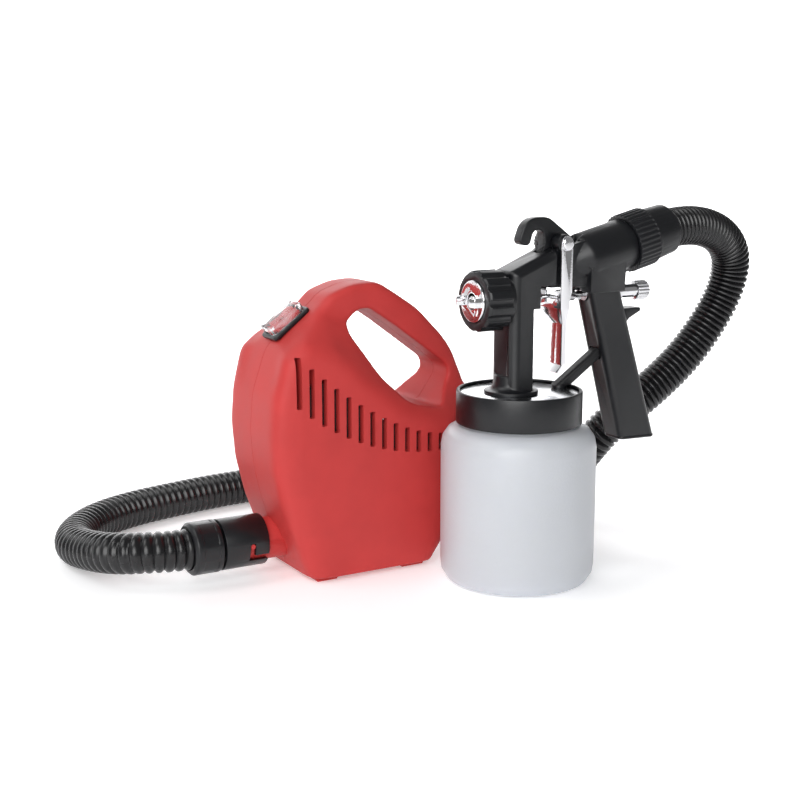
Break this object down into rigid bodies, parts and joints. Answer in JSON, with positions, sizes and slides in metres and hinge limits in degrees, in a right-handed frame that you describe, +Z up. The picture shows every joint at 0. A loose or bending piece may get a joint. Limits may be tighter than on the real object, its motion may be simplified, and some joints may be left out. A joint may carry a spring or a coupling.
{
  "type": "turbine paint sprayer",
  "caption": "Electric turbine paint sprayer: red turbine box with handle, corrugated air hose, and a black spray gun with trigger, adjustable nozzle and milky screw-on cup.",
  "frame": {"origin": "middle of the cup's base, on the floor", "axes": "+X from the nozzle towards the grip, +Y from the gun towards the turbine box, +Z up"},
  "size_m": [0.4666, 0.3247, 0.2427],
  "materials": {
    "red_plastic": "satin moulded plastic with a fine grain",
    "black_plastic": "satin moulded plastic with a fine grain",
    "milky_plastic": "translucent blow-moulded plastic",
    "clear_plastic": "thin clear moulding",
    "chrome": "bright plating",
    "steel": "turned steel",
    "lid_metal": "bright pressed aluminium",
    "rubber": "smooth moulded rubber",
    "hose_plastic": "flexible corrugated plastic with a satin shine",
    "carbon": "pressed carbon",
    "foam": "open-cell foam"
  },
  "bodies": {
    "sprayer": {"housing_near": "red_plastic", "housing_far": "red_plastic", "housing_screws": "steel", "outlet_spigot": "red_plastic", "switch_bezel": "black_plastic", "switch_axle": "steel", "switch_cover": "clear_plastic", "cord_grommet": "rubber", "motor_frame": "black_plastic", "motor_bearings": "steel", "motor_field": "steel", "motor_brushes": "carbon", "motor_mounts": "rubber", "fan_case": "lid_metal", "diffuser": "black_plastic", "intake_filters": "foam", "turbine_hose_nut": "black_plastic", "hose": "hose_plastic", "gun_hose_sleeve": "black_plastic", "gun_body": "black_plastic", "grip_cap": "black_plastic", "hook": "black_plastic", "hook_nut": "black_plastic", "trigger_pivot": "steel", "pivot_clip": "steel", "packing_nut": "steel", "fluid_nozzle": "steel", "knob_bush": "chrome", "needle_spring": "steel", "lid_disc": "lid_metal", "lid_gasket": "rubber", "cup": "milky_plastic", "dip_tube": "milky_plastic", "pressure_tube": "rubber", "pressure_barb": "black_plastic"},
    "rocker": {"switch_rocker": "red_plastic"},
    "rotor": {"armature": "steel", "impeller": "lid_metal"},
    "turbine_lock": {"turbine_lock_sleeve": "black_plastic"},
    "gun_lock": {"gun_lock_collar": "black_plastic"},
    "trigger": {"trigger": "chrome"},
    "needle": {"needle": "steel", "cross_pin": "steel"},
    "knob": {"flow_knob": "chrome"},
    "ring_nut": {"nozzle_ring_nut": "black_plastic"},
    "cap": {"air_cap": "chrome"},
    "collar": {"lid_collar": "black_plastic"}
  },
  "joints": [
    {"name": "trigger_pull", "type": "hinge", "parent": "sprayer", "child": "trigger", "pos_m": [0.0256, 0, 0.2205], "axis": [0, -1, 0], "range_deg": [0, 10], "stiffness_Nm_per_rad": 0.4, "springref_deg": -17.19},
    {"name": "needle_slide", "type": "slide", "parent": "sprayer", "child": "needle", "axis": [1, 0, 0], "range_m": [0, 0.0035], "stiffness_N_per_m": 300, "springref_m": -0.006, "deforming": ["needle_spring"]},
    {"name": "flow_knob_turn", "type": "hinge", "parent": "sprayer", "child": "knob", "pos_m": [0.08, 0, 0.186], "axis": [1, 0, 0], "range_deg": [0, 540]},
    {"name": "ring_nut_turn", "type": "hinge", "parent": "sprayer", "child": "ring_nut", "pos_m": [-0.027, 0, 0.186], "axis": [1, 0, 0], "range_deg": [0, 180]},
    {"name": "air_cap_turn", "type": "hinge", "parent": "sprayer", "child": "cap", "pos_m": [-0.034, 0, 0.186], "axis": [1, 0, 0], "range_deg": [0, 90]},
    {"name": "lid_collar_turn", "type": "hinge", "parent": "sprayer", "child": "collar", "pos_m": [0, 0, 0.115], "axis": [0, 0, 1], "range_deg": [0, 270]},
    {"name": "gun_lock_turn", "type": "hinge", "parent": "sprayer", "child": "gun_lock", "pos_m": [0.082, 0, 0.2175], "axis": [0.9703, 0, 0.2419], "range_deg": [0, 30]},
    {"name": "turbine_lock_turn", "type": "hinge", "parent": "sprayer", "child": "turbine_lock", "pos_m": [-0.16, 0.089, 0.025], "axis": [-1, 0, 0], "range_deg": [0, 27]},
    {"name": "switch_press", "type": "hinge", "parent": "sprayer", "child": "rocker", "pos_m": [-0.12024, 0.089, 0.16301], "axis": [0, 1, 0], "range_deg": [0, 10]},
    {"name": "rotor_spin", "type": "hinge", "parent": "sprayer", "child": "rotor", "pos_m": [-0.078, 0.089, 0.061], "axis": [0, 1, 0], "continuous": true}
  ],
  "couplings": [
    {"joint": "needle_slide", "follows": "trigger_pull", "m_per_rad": 0.02}
  ]
}
